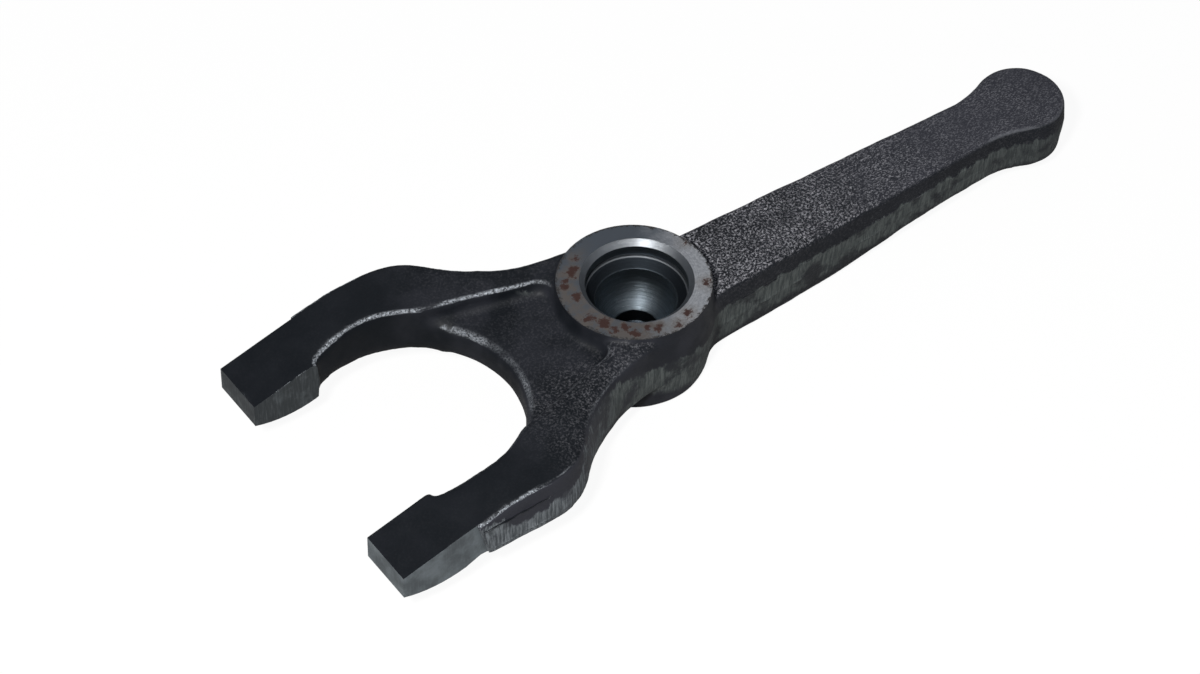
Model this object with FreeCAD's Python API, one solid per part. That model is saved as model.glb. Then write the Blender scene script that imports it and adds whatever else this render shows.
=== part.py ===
"""Clutch release fork: one closed-die steel forging, finish machined.

Millimetres.  The origin is the centre of the pivot ball.  +X runs along the
lever to its round push end, the two prongs point to -X, and +Z is the side
that the ball socket opens to.  The part is symmetric about the XZ plane.
"""
import FreeCAD, Part
import math
import os

V = FreeCAD.Vector

# ---- Driving dimensions, mm ------------------------------------------------

# Ball socket, machined about the Z axis
ball_radius = 12.0             # spherical seat, centred on the origin
seat_wall_height = 2.0         # straight wall above the ball's equator
mouth_radius = 15.0            # counterbore for the ball's retainer
mouth_depth = 5.6              # from the ring face to the counterbore's floor
mouth_chamfer = 1.7
groove_radius = 15.8           # snap ring groove at the counterbore's foot
groove_width = 1.4
relief_radius = 6.75           # relief hole under the ball
relief_depth = 4.5             # below the mouth of the relief hole
drill_point_angle = 118.0

# Boss that carries the socket
boss_radius = 22.7             # at the machined ring face
boss_face_z = 10.0
boss_centre_x = -1.0           # the forging sits a little off the machined socket
boss_foot_z = -20.4            # stands just proud of the arm

# Lever arm and its round push end
arm_top_z = 3.5
arm_root_x = 30.0
arm_root_half = 13.2           # half width at arm_root_x, at the parting line
arm_neck_x = 122.0
arm_neck_half = 10.1           # half width at arm_neck_x
arm_root_foot_z = -20.2
arm_neck_foot_z = -13.8
foot_rise_start_x = 48.0
foot_rise_end_x = 120.0
arm_root_blend = 9.0           # plan radius where the arm leaves the boss
paddle_x = 144.0
paddle_radius = 14.2
paddle_neck_blend = 30.0       # plan radius between the arm and the round end
push_cup_radius = 9.0          # spherical cup for the push rod, underneath
push_cup_depth = 4.5

# Yoke: shoulders and two prongs round the release bearing's sleeve
prong_half = 48.9              # outer half width across the prongs
shoulder_x = -63.0             # where the shoulder's curve meets the prong
shoulder_radius = 23.0
waist_radius = 53.0            # hollow between the shoulder and the boss
tip_x = -112.3
gap_centre_x = -77.2
gap_flank_radius = 55.0        # flatter curve from the U towards the pads
rib_top_z = 8.6                # beside the boss
rib_rise_start_x = -20.0
rib_rise_end_x = -50.0
yoke_top_z = 9.6
yoke_foot_z = -11.2            # underside beside the boss
prong_foot_z = -7.4            # underside at the root of a prong
prong_end_foot_z = -6.2        # underside just behind the pad
foot_step_start_x = -39.0
foot_step_end_x = -57.0
nose_break_x = -70.0           # where the prong's top starts to fall
nose_slope = 14.0              # degrees
nose_curve_radius = 47.0

# Machined pads at the prong tips
pad_end_x = -90.5
pad_back_run = 5.0             # ramp from the pad's lower edge up to the prong
pad_inner_half = 28.9
gap_relief = 2.5               # from the pads to the U between the prongs
gap_radius = pad_inner_half + gap_relief
pad_outer_half = 46.8
pad_outer_end_x = -86.4
pad_foot_radius = 34.0         # rolling face that presses on the bearing
pad_foot_z = -9.8              # its lowest line
pad_foot_x = -100.0
pad_stock = 2.5                # forged stock left on a pad before milling
pad_corner_radius = 1.8

# Pocket between the boss and the prongs
pocket_floor_z = 4.0
foot_pocket_floor_z = -6.9
rib_root_half = 17.8           # inner face of a rib beside the boss, half width
rib_root_x = -24.0
rib_end_half = 24.0            # inner face of a rib at the U, half width
rib_end_x = -48.0
pocket_corner_radius = 5.0
pocket_draft = 10.0            # degrees
pocket_floor_radius = 3.0

# Forging practice
draft = 5.0                    # degrees, on every outer wall
gap_draft = 4.5                # degrees, on the wall of the U
parting_z = -3.0
gap_parting_z = -2.0
land_proud = 0.25              # trimmed flash, standing proud of the walls
arm_land_z = -7.6              # middle of the trimmed land along the arm
arm_land_height = 7.6
paddle_land_height = 5.0
yoke_land_z = 0.2              # middle of the trimmed land along the prongs
yoke_land_height = 8.4
top_edge_radius = 1.8
foot_edge_radius = 1.8
gap_edge_radius = 2.0          # round the U, on the prongs and the ribs
gap_foot_radius = 3.4          # the U's lower edge along the prongs
lip_radius = 4.0               # the U's edge where the pocket runs out to it
foot_lip_radius = 2.4          # the same edge underneath
land_root = 2.0                # how far the trimmed flash runs into the walls

REACH = 400.0                  # past the part on every side
HAIR = 0.01                    # tells a face's own edges from the rest


# ---- Plane geometry --------------------------------------------------------

def point(x, y, z=0.0):
    """Point of the plan, at height z."""
    return V(x, y, z)


def tan_deg(angle):
    """Tangent of an angle in degrees."""
    return math.tan(math.radians(angle))


def line(a, b):
    """Straight edge from a to b."""
    return Part.LineSegment(a, b).toShape()


def arc(centre, radius, a, b):
    """Shorter arc from a to b about centre."""
    middle = (a - centre) + (b - centre)
    middle.normalize()
    return Part.Arc(a, centre + middle * radius, b).toShape()


def ease(a, b):
    """Two equal tangent arcs from a to b that leave and arrive along X, side view."""
    rise = b.z - a.z
    radius = ((b.x - a.x) ** 2 + rise ** 2) / (4 * abs(rise))
    up = V(0, 0, math.copysign(radius, rise))
    middle = (a + b) * 0.5
    return [arc(a + up, radius, a, middle), arc(b - up, radius, middle, b)]


def mirrored(edges):
    """The same edges on the other side of the XZ plane."""
    return [edge.mirror(V(0, 0, 0), V(0, 1, 0)) for edge in edges]


def towards(a, b, distance):
    """Point on the line from a to b, at distance from a."""
    step = b - a
    step.normalize()
    return a + step * distance


def meet_circles(a, reach_a, b, reach_b):
    """Point with the larger Y at the two given distances from a and b."""
    span = a.distanceToPoint(b)
    along = (span ** 2 + reach_a ** 2 - reach_b ** 2) / (2 * span)
    across = math.sqrt(reach_a ** 2 - along ** 2)
    step = (b - a) * (1 / span)
    side = V(-step.y, step.x, 0)
    if side.y < 0:
        side = side * -1
    return a + step * along + side * across


class Side:
    """Straight side through two points, with its normal to the left."""

    def __init__(self, a, b):
        """Side from a towards b."""
        self.start = a
        self.step = b - a
        self.step.normalize()
        self.normal = V(-self.step.y, self.step.x, 0)

    def shifted(self, distance):
        """The same side, moved along its normal."""
        return Side(self.start + self.normal * distance,
                    self.start + self.normal * distance + self.step)

    def foot(self, p):
        """Point of the side nearest to p."""
        return self.start + self.step * (p - self.start).dot(self.step)

    def meet(self, centre, reach, forward):
        """Point on the side at reach from centre, on its forward or back end."""
        foot = self.foot(centre)
        along = math.sqrt(reach ** 2 - foot.distanceToPoint(centre) ** 2)
        return foot + self.step * (along if forward else -along)


# ---- Outline of the forging, seen from above ---------------------------------

PADDLE_CENTRE = point(paddle_x, 0)
BOSS_CENTRE = point(boss_centre_x, 0)
COLLAR_RADIUS = boss_radius + (boss_face_z - parting_z) * tan_deg(draft)
BOSS_FOOT_RADIUS = COLLAR_RADIUS - (parting_z - boss_foot_z) * tan_deg(draft)
ARM_SIDE = Side(point(arm_root_x, arm_root_half), point(arm_neck_x, arm_neck_half))
NECK_CENTRE = ARM_SIDE.shifted(paddle_neck_blend).meet(
    PADDLE_CENTRE, paddle_radius + paddle_neck_blend, False)
ROOT_CENTRE = ARM_SIDE.shifted(arm_root_blend).meet(
    BOSS_CENTRE, COLLAR_RADIUS + arm_root_blend, True)
SHOULDER_CENTRE = point(shoulder_x, prong_half - shoulder_radius)
WAIST_CENTRE = meet_circles(BOSS_CENTRE, COLLAR_RADIUS + waist_radius,
                            SHOULDER_CENTRE, shoulder_radius + waist_radius)


def outline(inset):
    """Edges of the outline, set in from the widest outline by inset."""
    paddle = paddle_radius - inset
    neck = paddle_neck_blend + inset
    root = arm_root_blend + inset
    boss = COLLAR_RADIUS - inset
    waist = waist_radius + inset
    shoulder = shoulder_radius - inset
    side = ARM_SIDE.shifted(-inset)

    paddle_end = point(paddle_x + paddle, 0)
    at_neck = towards(PADDLE_CENTRE, NECK_CENTRE, paddle)
    arm_far = side.foot(NECK_CENTRE)
    arm_near = side.foot(ROOT_CENTRE)
    at_boss = towards(BOSS_CENTRE, ROOT_CENTRE, boss)
    at_waist = towards(BOSS_CENTRE, WAIST_CENTRE, boss)
    at_shoulder = towards(SHOULDER_CENTRE, WAIST_CENTRE, shoulder)
    at_prong = point(shoulder_x, prong_half - inset)
    corner = point(tip_x, prong_half - inset)

    half = [
        arc(NECK_CENTRE, neck, at_neck, arm_far),
        line(arm_far, arm_near),
        arc(ROOT_CENTRE, root, arm_near, at_boss),
        arc(BOSS_CENTRE, boss, at_boss, at_waist),
        arc(WAIST_CENTRE, waist, at_waist, at_shoulder),
        arc(SHOULDER_CENTRE, shoulder, at_shoulder, at_prong),
        line(at_prong, corner),
    ]
    other = point(at_neck.x, -at_neck.y)
    ends = [Part.Arc(other, paddle_end, at_neck).toShape(),
            line(corner, point(corner.x, -corner.y))]
    return half + mirrored(half) + ends


def closed(edges):
    """Wire through a closed run of edges, given in any order."""
    return Part.Wire(Part.__sortEdges__(edges))


def raised(edges, z):
    """The edges of a plan, lifted to height z."""
    return [edge.translated(V(0, 0, z)) for edge in edges]


def leaf(lower, upper):
    """Wall between two matching edges: a cone between arcs, a plane between lines."""
    a = lower.valueAt(lower.FirstParameter)
    b = upper.valueAt(upper.FirstParameter)
    if isinstance(lower.Curve, Part.Circle):
        sweep = math.degrees(lower.LastParameter - lower.FirstParameter)
        return line(a, b).revolve(lower.Curve.Center, lower.Curve.Axis, sweep)
    c = upper.valueAt(upper.LastParameter)
    d = lower.valueAt(lower.LastParameter)
    return Part.Face(Part.makePolygon([a, b, c, d, a]))


def stacked(*levels):
    """Solid through plans that match edge for edge, lowest first."""
    leaves = [leaf(a, b) for low, high in zip(levels, levels[1:]) for a, b in zip(low, high)]
    ends = [Part.Face(closed(levels[0])), Part.Face(closed(levels[-1]))]
    shell = Part.makeShell(leaves + ends)
    shell.sewShape()
    solid = Part.makeSolid(shell)
    return solid if solid.Volume > 0 else solid.reversed()


def drafted(section, top_z, middle_z, bottom_z, angle):
    """Prism with its plain section at middle_z that tapers both ways from there."""
    upper = section((top_z - middle_z) * tan_deg(angle))
    lower = section((middle_z - bottom_z) * tan_deg(angle))
    return stacked(raised(lower, bottom_z), raised(section(0), middle_z), raised(upper, top_z))


# ---- Side view ---------------------------------------------------------------

def slab(edges):
    """Solid as wide as needed whose side view is the closed run of edges."""
    face = Part.Face(closed(edges))
    face.translate(V(0, -REACH, 0))
    return face.extrude(V(0, 2 * REACH, 0))


def top_run():
    """Top of the forging from the push end to the prong tips."""
    slope = math.radians(nose_slope)
    curve_centre = V(nose_break_x, 0, yoke_top_z - nose_curve_radius)
    curve_end = curve_centre + V(-math.sin(slope), 0, math.cos(slope)) * nose_curve_radius
    nose_end = curve_end + V(-1, 0, -math.tan(slope)) * (curve_end.x - tip_x + pad_stock)
    inside_boss = boss_radius / 2
    start = V(paddle_x + REACH, 0, arm_top_z)
    rise = V(inside_boss, 0, arm_top_z)
    crest = V(-inside_boss, 0, rib_top_z)
    rib_start = V(rib_rise_start_x, 0, rib_top_z)
    rib_end = V(rib_rise_end_x, 0, yoke_top_z)
    break_point = V(nose_break_x, 0, yoke_top_z)
    return start, [
        line(start, rise),
        *ease(rise, crest),
        line(crest, rib_start),
        *ease(rib_start, rib_end),
        line(rib_end, break_point),
        arc(curve_centre, nose_curve_radius, break_point, curve_end),
        line(curve_end, nose_end),
    ], nose_end


def foot_run():
    """Underside of the forging from the push end to the prong tips."""
    inside_boss = boss_radius / 2
    start = V(paddle_x + REACH, 0, arm_neck_foot_z)
    neck = V(foot_rise_end_x, 0, arm_neck_foot_z)
    root = V(foot_rise_start_x, 0, arm_root_foot_z)
    under_boss = V(inside_boss, 0, arm_root_foot_z)
    beside_boss = V(-inside_boss, 0, yoke_foot_z)
    step_start = V(foot_step_start_x, 0, yoke_foot_z)
    step_end = V(foot_step_end_x, 0, prong_foot_z)
    prong_end = V(tip_x - pad_stock, 0, prong_end_foot_z)
    return start, [
        line(start, neck),
        *ease(neck, root),
        line(root, under_boss),
        *ease(under_boss, beside_boss),
        line(beside_boss, step_start),
        *ease(step_start, step_end),
        line(step_end, prong_end),
    ], prong_end


def pad_point(centre, x):
    """Point of the pad's rolling face at x."""
    return V(x, 0, centre.z - math.sqrt(pad_foot_radius ** 2 - (x - centre.x) ** 2))


def pad_slab():
    """Side view of a pad below the prong, with its rolling face."""
    centre = V(pad_foot_x, 0, pad_foot_z + pad_foot_radius)
    start = pad_point(centre, pad_end_x - pad_stock / 2)
    tip = pad_point(centre, tip_x - pad_stock)
    back = V(pad_end_x + pad_back_run, 0, prong_end_foot_z)
    top = V(back.x, 0, 0)
    far = V(tip.x, 0, 0)
    return slab([arc(centre, pad_foot_radius, start, tip), line(tip, far), line(far, top),
                 line(top, back), line(back, start)])


def side_slab():
    """Everything between the forging's top and its underside."""
    top_start, top, top_end = top_run()
    foot_start, foot, foot_end = foot_run()
    return slab(top + foot + [line(top_start, foot_start), line(top_end, foot_end)])


# ---- Forged body -------------------------------------------------------------

def gap_section(widening):
    """Edges of the plan of the U, wider than at the parting line by widening."""
    radius = gap_radius + widening
    flank = gap_flank_radius + widening
    back_x = pad_end_x - widening
    throat = pad_inner_half - pad_stock
    gap_centre = point(gap_centre_x, 0)
    flank_centre = point(gap_centre_x, gap_radius - gap_flank_radius)
    corner = pad_corner_radius + widening
    corner_centre = Side(point(back_x + corner, 0), point(back_x + corner, 1)).meet(
        flank_centre, flank - corner, True)
    at_flank = towards(flank_centre, corner_centre, flank)
    at_back = point(back_x, corner_centre.y)
    top = point(gap_centre_x, radius)
    inner = point(back_x, throat)
    outer = point(tip_x - 4 * pad_stock, throat)
    half = [
        arc(flank_centre, flank, top, at_flank),
        arc(corner_centre, corner, at_flank, at_back),
        line(at_back, inner),
        line(inner, outer),
    ]
    ends = [Part.Arc(point(top.x, -top.y), point(gap_centre_x + radius, 0), top).toShape(),
            line(outer, point(outer.x, -outer.y))]
    return half + mirrored(half) + ends


def near(body, *places):
    """The body's edge nearest to each place and to its mirror image."""
    chosen = []
    for place in places:
        for target in (place, V(place.x, -place.y, place.z)):
            vertex = Part.Vertex(target)
            edge = min(body.Edges, key=lambda candidate: candidate.distToShape(vertex)[0])
            if not any(edge.isSame(other) for other in chosen):
                chosen.append(edge)
    return chosen


def walls():
    """Drafted walls of the whole forging, U cut out, taller than any top."""
    above = boss_face_z + top_edge_radius
    below = boss_foot_z - 2 * foot_edge_radius
    gap = drafted(gap_section, above, gap_parting_z, below, gap_draft)
    return drafted(outline, above, parting_z, below, draft).cut(gap)


# ---- Pocket, boss and trimmed flash -------------------------------------------

def pocket_section(boss, inset):
    """Edges of the plan of the pocket between the ribs, the boss and the U."""
    reach = boss + inset
    corner = pocket_corner_radius - inset
    rib = Side(point(rib_end_x, rib_end_half), point(rib_root_x, rib_root_half)).shifted(-inset)
    corner_centre = rib.shifted(-corner).meet(BOSS_CENTRE, reach + corner, False)
    at_rib = rib.foot(corner_centre)
    at_boss = towards(BOSS_CENTRE, corner_centre, reach)
    far_end = rib.foot(point(gap_centre_x, rib_end_half))
    half = [line(far_end, at_rib), arc(corner_centre, corner, at_rib, at_boss)]
    other = point(at_boss.x, -at_boss.y)
    ends = [Part.Arc(at_boss, point(boss_centre_x - reach, 0), other).toShape(),
            line(far_end, point(far_end.x, -far_end.y))]
    return half + mirrored(half) + ends


def pocket(boss, floor_z, mouth_z):
    """Tool for a pocket of the yoke, beside a boss of that radius at the mouth."""
    narrow = raised(pocket_section(boss, abs(mouth_z - floor_z) * tan_deg(pocket_draft)), floor_z)
    wide = raised(pocket_section(boss, 0), mouth_z)
    shape = stacked(narrow, wide) if floor_z < mouth_z else stacked(wide, narrow)
    floor = [edge for edge in shape.Edges
             if abs(edge.BoundBox.ZMin - floor_z) < HAIR and abs(edge.BoundBox.ZMax - floor_z) < HAIR
             and edge.CenterOfMass.x > gap_centre_x + HAIR]
    return shape.makeFillet(pocket_floor_radius, floor)


def boss():
    """Boss above and below the yoke."""
    parting = V(boss_centre_x, 0, parting_z)
    bottom = V(boss_centre_x, 0, boss_foot_z)
    upper = Part.makeCone(COLLAR_RADIUS, boss_radius, boss_face_z - parting_z, parting)
    lower = Part.makeCone(BOSS_FOOT_RADIUS, COLLAR_RADIUS, parting_z - boss_foot_z, bottom)
    foot_rim = [edge for edge in lower.Edges if edge.BoundBox.ZMax < boss_foot_z + HAIR]
    return upper, lower.makeFillet(foot_edge_radius, foot_rim)


def land_edge(side):
    """Upper edge (side 1) or lower edge (side -1) of the trimmed flash, side view."""
    arm = arm_land_z + side * arm_land_height / 2
    paddle = (arm_top_z + arm_neck_foot_z + side * paddle_land_height) / 2
    yoke = yoke_land_z + side * yoke_land_height / 2
    start = V(paddle_x + 2 * paddle_radius, 0, paddle)
    neck = V(arm_neck_x, 0, paddle)
    root = V(boss_radius, 0, arm)
    shoulder = V(shoulder_x, 0, yoke)
    end = V(tip_x, 0, yoke)
    run = [line(start, neck), *ease(neck, root), *ease(root, shoulder), line(shoulder, end)]
    return start, run, end


def land():
    """Trimmed flash: a narrow upright band that follows the parting line."""
    high_start, high, high_end = land_edge(1)
    low_start, low, low_end = land_edge(-1)
    band = slab(high + low + [line(high_start, low_start), line(high_end, low_end)])
    rise = V(0, 0, boss_face_z - boss_foot_z)
    ring = Part.Face(closed(raised(outline(-land_proud), boss_foot_z))).extrude(rise)
    core = Part.Face(closed(raised(outline(land_root), boss_foot_z))).extrude(rise)
    return ring.cut(core).common(band).common(side_slab())


# ---- Machining ---------------------------------------------------------------

def socket():
    """Everything the socket tools take out of the boss, as one revolved section."""
    face = boss_face_z
    floor = face - mouth_depth
    relief_top = -math.sqrt(ball_radius ** 2 - relief_radius ** 2)
    relief_foot = relief_top - relief_depth
    drill_point = relief_foot - relief_radius / tan_deg(drill_point_angle / 2)
    above = face + mouth_chamfer
    run = [V(r, 0, z) for r, z in [
        (0, above),
        (mouth_radius + 2 * mouth_chamfer, above),
        (mouth_radius, face - mouth_chamfer),
        (mouth_radius, floor + groove_width),
        (groove_radius, floor + groove_width),
        (groove_radius, floor),
        (mouth_radius, floor),
        (ball_radius, seat_wall_height),
        (ball_radius, 0),
    ]]
    low = [V(r, 0, z) for r, z in [
        (relief_radius, relief_top), (relief_radius, relief_foot), (0, drill_point), (0, above)]]
    half_way = math.atan2(-relief_top, relief_radius) / 2
    seat_middle = V(math.cos(half_way), 0, -math.sin(half_way)) * ball_radius
    edges = [line(a, b) for a, b in zip(run, run[1:])]
    edges += [line(a, b) for a, b in zip(low, low[1:])]
    edges.append(Part.Arc(run[-1], seat_middle, low[0]).toShape())
    return Part.Face(closed(edges)).revolve(V(0, 0, 0), V(0, 0, 1), 360)


def pad_tools():
    """What the milling cutter takes off the prong tips, inside and outside."""
    high = boss_face_z
    low = boss_foot_z
    start = tip_x - REACH
    inner = Part.makeBox(gap_centre_x - start, 2 * pad_inner_half, high - low,
                         V(start, -pad_inner_half, low))
    upper = V(pad_outer_end_x - high * tan_deg(nose_slope), 0, high)
    lower = V(pad_outer_end_x - low * tan_deg(nose_slope), 0, low)
    upper_far = V(start, 0, high)
    lower_far = V(start, 0, low)
    flank = slab([line(upper, lower), line(lower, lower_far), line(lower_far, upper_far),
                  line(upper_far, upper)])
    kept = Part.makeBox(2 * REACH, 2 * pad_outer_half, 2 * REACH, V(-REACH, -pad_outer_half, -REACH))
    return inner, flank.cut(kept)


def push_cup():
    """Ball that leaves the push rod's cup in the underside of the round end."""
    centre_z = arm_neck_foot_z + push_cup_depth - push_cup_radius
    return Part.makeSphere(push_cup_radius, V(paddle_x, 0, centre_z))


# ---- The fork ----------------------------------------------------------------

def rounded(body, radius, *places):
    """The body with a round along the edges nearest to the places, both sides."""
    return body.makeFillet(radius, near(body, *places))


def gap_rim(x, z):
    """Point at x on the wall of the U, at height z."""
    return V(x, math.sqrt(gap_radius ** 2 - (x - gap_centre_x) ** 2), z)


def forging(blank):
    """Arm, ribs, web and prongs: the blank's walls between top and underside."""
    body = blank.common(side_slab()).removeSplitter()
    body = body.cut([pocket(boss_radius, pocket_floor_z, boss_face_z),
                     pocket(BOSS_FOOT_RADIUS, foot_pocket_floor_z, boss_foot_z)])
    arm_middle = V((arm_root_x + arm_neck_x) / 2, (arm_root_half + arm_neck_half) / 2, arm_top_z)
    rib_middle = V((rib_root_x + rib_end_x) / 2, (rib_root_half + rib_end_half) / 2, yoke_top_z)
    shoulder_rim = gap_rim((gap_centre_x + rib_end_x) / 2, yoke_top_z)
    flank_rim = gap_rim((gap_centre_x + pad_end_x) / 2, yoke_top_z)
    web_rim_x = gap_centre_x + gap_radius
    body = rounded(body, top_edge_radius, arm_middle)
    body = rounded(body, lip_radius, V(web_rim_x, 0, pocket_floor_z))
    body = rounded(body, gap_edge_radius, flank_rim, shoulder_rim, rib_middle)
    body = rounded(body, foot_edge_radius, V(arm_root_x, arm_root_half, arm_root_foot_z))
    body = rounded(body, gap_foot_radius, gap_rim((gap_centre_x + rib_end_x) / 2, prong_foot_z))
    return rounded(body, foot_lip_radius, V(web_rim_x, 0, foot_pocket_floor_z))


def clutch_fork():
    """The finished fork: forged blank, pads, flash land and boss, then machined."""
    blank = walls()
    body = forging(blank).fuse([blank.common(pad_slab()), land(), *boss()])
    return body.cut([socket(), push_cup(), *pad_tools()]).removeSplitter()


if __name__ == "__main__":
    os.makedirs("parts", exist_ok=True)
    clutch_fork().exportStep("parts/clutch_fork.step")
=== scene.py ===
"""Looks of a clutch release fork: forging skin, trimmed flash, milled pads and a ball socket.

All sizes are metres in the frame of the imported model, but the finishes measure in millimetres.
The forging is a fine copy of the CAD shell: the copy is divided into small triangles, given the
shallow unevenness of a die forging, and dressed with one finish for each way in which a face was
made.
"""

from __future__ import annotations

import logging
import math
from dataclasses import dataclass, field
from enum import Enum, IntEnum
from typing import Any, Union

import bpy
import numpy as np
from mathutils import Matrix, Vector

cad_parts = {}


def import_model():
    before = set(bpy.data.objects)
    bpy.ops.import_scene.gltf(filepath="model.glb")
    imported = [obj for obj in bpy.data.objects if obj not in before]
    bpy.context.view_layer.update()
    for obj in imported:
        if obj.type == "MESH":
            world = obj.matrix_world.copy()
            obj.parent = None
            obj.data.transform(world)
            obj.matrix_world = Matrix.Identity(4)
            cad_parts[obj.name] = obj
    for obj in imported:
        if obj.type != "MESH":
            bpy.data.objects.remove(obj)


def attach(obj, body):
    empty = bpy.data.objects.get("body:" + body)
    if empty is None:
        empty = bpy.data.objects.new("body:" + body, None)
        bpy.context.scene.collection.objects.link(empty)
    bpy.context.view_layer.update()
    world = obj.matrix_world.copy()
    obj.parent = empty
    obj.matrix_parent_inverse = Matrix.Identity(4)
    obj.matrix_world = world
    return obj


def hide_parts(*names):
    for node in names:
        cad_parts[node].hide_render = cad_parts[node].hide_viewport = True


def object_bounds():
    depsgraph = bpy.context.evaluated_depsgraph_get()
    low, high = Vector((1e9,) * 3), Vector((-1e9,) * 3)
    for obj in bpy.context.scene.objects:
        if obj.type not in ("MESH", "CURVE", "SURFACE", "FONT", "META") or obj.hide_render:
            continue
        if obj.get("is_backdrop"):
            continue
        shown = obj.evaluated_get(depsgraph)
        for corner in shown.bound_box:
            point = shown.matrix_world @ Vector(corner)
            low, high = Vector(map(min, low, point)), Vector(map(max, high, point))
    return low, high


LOG = logging.getLogger("clutch_fork")
MM = 0.001
JOIN = 1e-6  # points nearer than this count as one
TINY = 1e-18  # least length that is divided by
LEAST_SPAN = 1e-12  # least square of a distance that is divided by
MOST_BEND = 2000.0  # bending is cut off here, in 1/m
WHOLE = 0.999  # share from which a point lies wholly in its regions

Colour = tuple[float, float, float]
Number = Union[float, "Field"]
Span = tuple[float, ...]
Grain = tuple[float, ...]


# ---- Shader maths ------------------------------------------------------------------------------


class Graph:
    """Node tree of one material."""

    def __init__(self, name: str) -> None:
        """Starts an empty tree under the name."""
        self.material = bpy.data.materials.new(name)
        self.material.use_nodes = True
        self.tree = self.material.node_tree
        self.tree.nodes.clear()

    def node(self, kind: str, settings: dict[str, Any],
             inputs: dict[Union[str, int], Any]) -> bpy.types.Node:
        """Adds a node.

        Args:
            kind: Blender's type name of the node.
            settings: properties, which are set before the sockets.
            inputs: value, vector, socket or Field for each input, by name or number.

        Returns:
            The new node.
        """
        made = self.tree.nodes.new(kind)
        for key, value in settings.items():
            setattr(made, key, value)
        for key, value in inputs.items():
            if isinstance(value, Field):
                value = value.socket
            if isinstance(value, bpy.types.NodeSocket):
                self.tree.links.new(value, made.inputs[key])
            else:
                made.inputs[key].default_value = value
        return made

    def field(self, kind: str, settings: dict[str, Any], inputs: dict[Union[str, int], Any],
              output: Union[str, int] = 0) -> Field:
        """Adds a node and wraps one of its outputs.

        Args:
            kind: Blender's type name of the node.
            settings: properties of the node.
            inputs: values of its sockets.
            output: name or number of the output.

        Returns:
            The output as a Field.
        """
        return Field(self, self.node(kind, settings, inputs).outputs[output])

    def place_mm(self) -> bpy.types.NodeSocket:
        """Object coordinates in millimetres."""
        coordinates = self.node("ShaderNodeTexCoord", {}, {})
        scaled = self.node("ShaderNodeVectorMath", {"operation": "SCALE"},
                           {0: coordinates.outputs["Object"], "Scale": 1.0 / MM})
        return scaled.outputs[0]

    def parts(self, vector: bpy.types.NodeSocket) -> tuple[Field, Field, Field]:
        """The three components of a vector."""
        split = self.node("ShaderNodeSeparateXYZ", {}, {0: vector})
        x, y, z = (Field(self, output) for output in split.outputs)
        return x, y, z

    def vector(self, x: Number, y: Number, z: Number) -> bpy.types.NodeSocket:
        """A vector from three numbers or fields."""
        return self.node("ShaderNodeCombineXYZ", {}, {0: x, 1: y, 2: z}).outputs[0]

    def stretched(self, vector: bpy.types.NodeSocket, scale: Colour) -> bpy.types.NodeSocket:
        """The vector with each component multiplied by its own scale."""
        settings = {"operation": "MULTIPLY"}
        return self.node("ShaderNodeVectorMath", settings, {0: vector, 1: scale}).outputs[0]

    def upward(self) -> Field:
        """Height of the surface's normal, from -1 to 1."""
        return self.parts(self.node("ShaderNodeNewGeometry", {}, {}).outputs["Normal"])[2]

    def noise(self, vector: bpy.types.NodeSocket, scale: float, detail: float, roughness: float,
              distortion: float = 0.0) -> Field:
        """Noise from 0 to 1 whose grains are about 1/scale across."""
        inputs = {"Vector": vector, "Scale": scale, "Detail": detail, "Roughness": roughness,
                  "Distortion": distortion}
        return self.field("ShaderNodeTexNoise", {}, inputs)

    def mix(self, factor: Number, first: Any, second: Any) -> bpy.types.NodeSocket:
        """Colour that goes from first to second with the factor."""
        inputs = {0: factor, 6: rgba(first), 7: rgba(second)}
        return self.node("ShaderNodeMix", {"data_type": "RGBA"}, inputs).outputs[2]

    def attribute(self, name: str) -> Field:
        """A number that the mesh holds at each vertex."""
        return self.field("ShaderNodeAttribute", {"attribute_name": name}, {}, "Fac")

    def bump(self, height: Field, distance: float) -> bpy.types.NodeSocket:
        """Normal tilted by a height field; height 1 stands for the distance."""
        inputs = {"Height": height, "Distance": distance, "Strength": 1.0}
        return self.node("ShaderNodeBump", {}, inputs).outputs[0]

    def surface(self, inputs: dict[str, Any]) -> bpy.types.Material:
        """Ends the tree in one Principled shader with the inputs."""
        shader = self.node("ShaderNodeBsdfPrincipled", {}, inputs)
        self.node("ShaderNodeOutputMaterial", {}, {"Surface": shader.outputs[0]})
        return self.material


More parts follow.
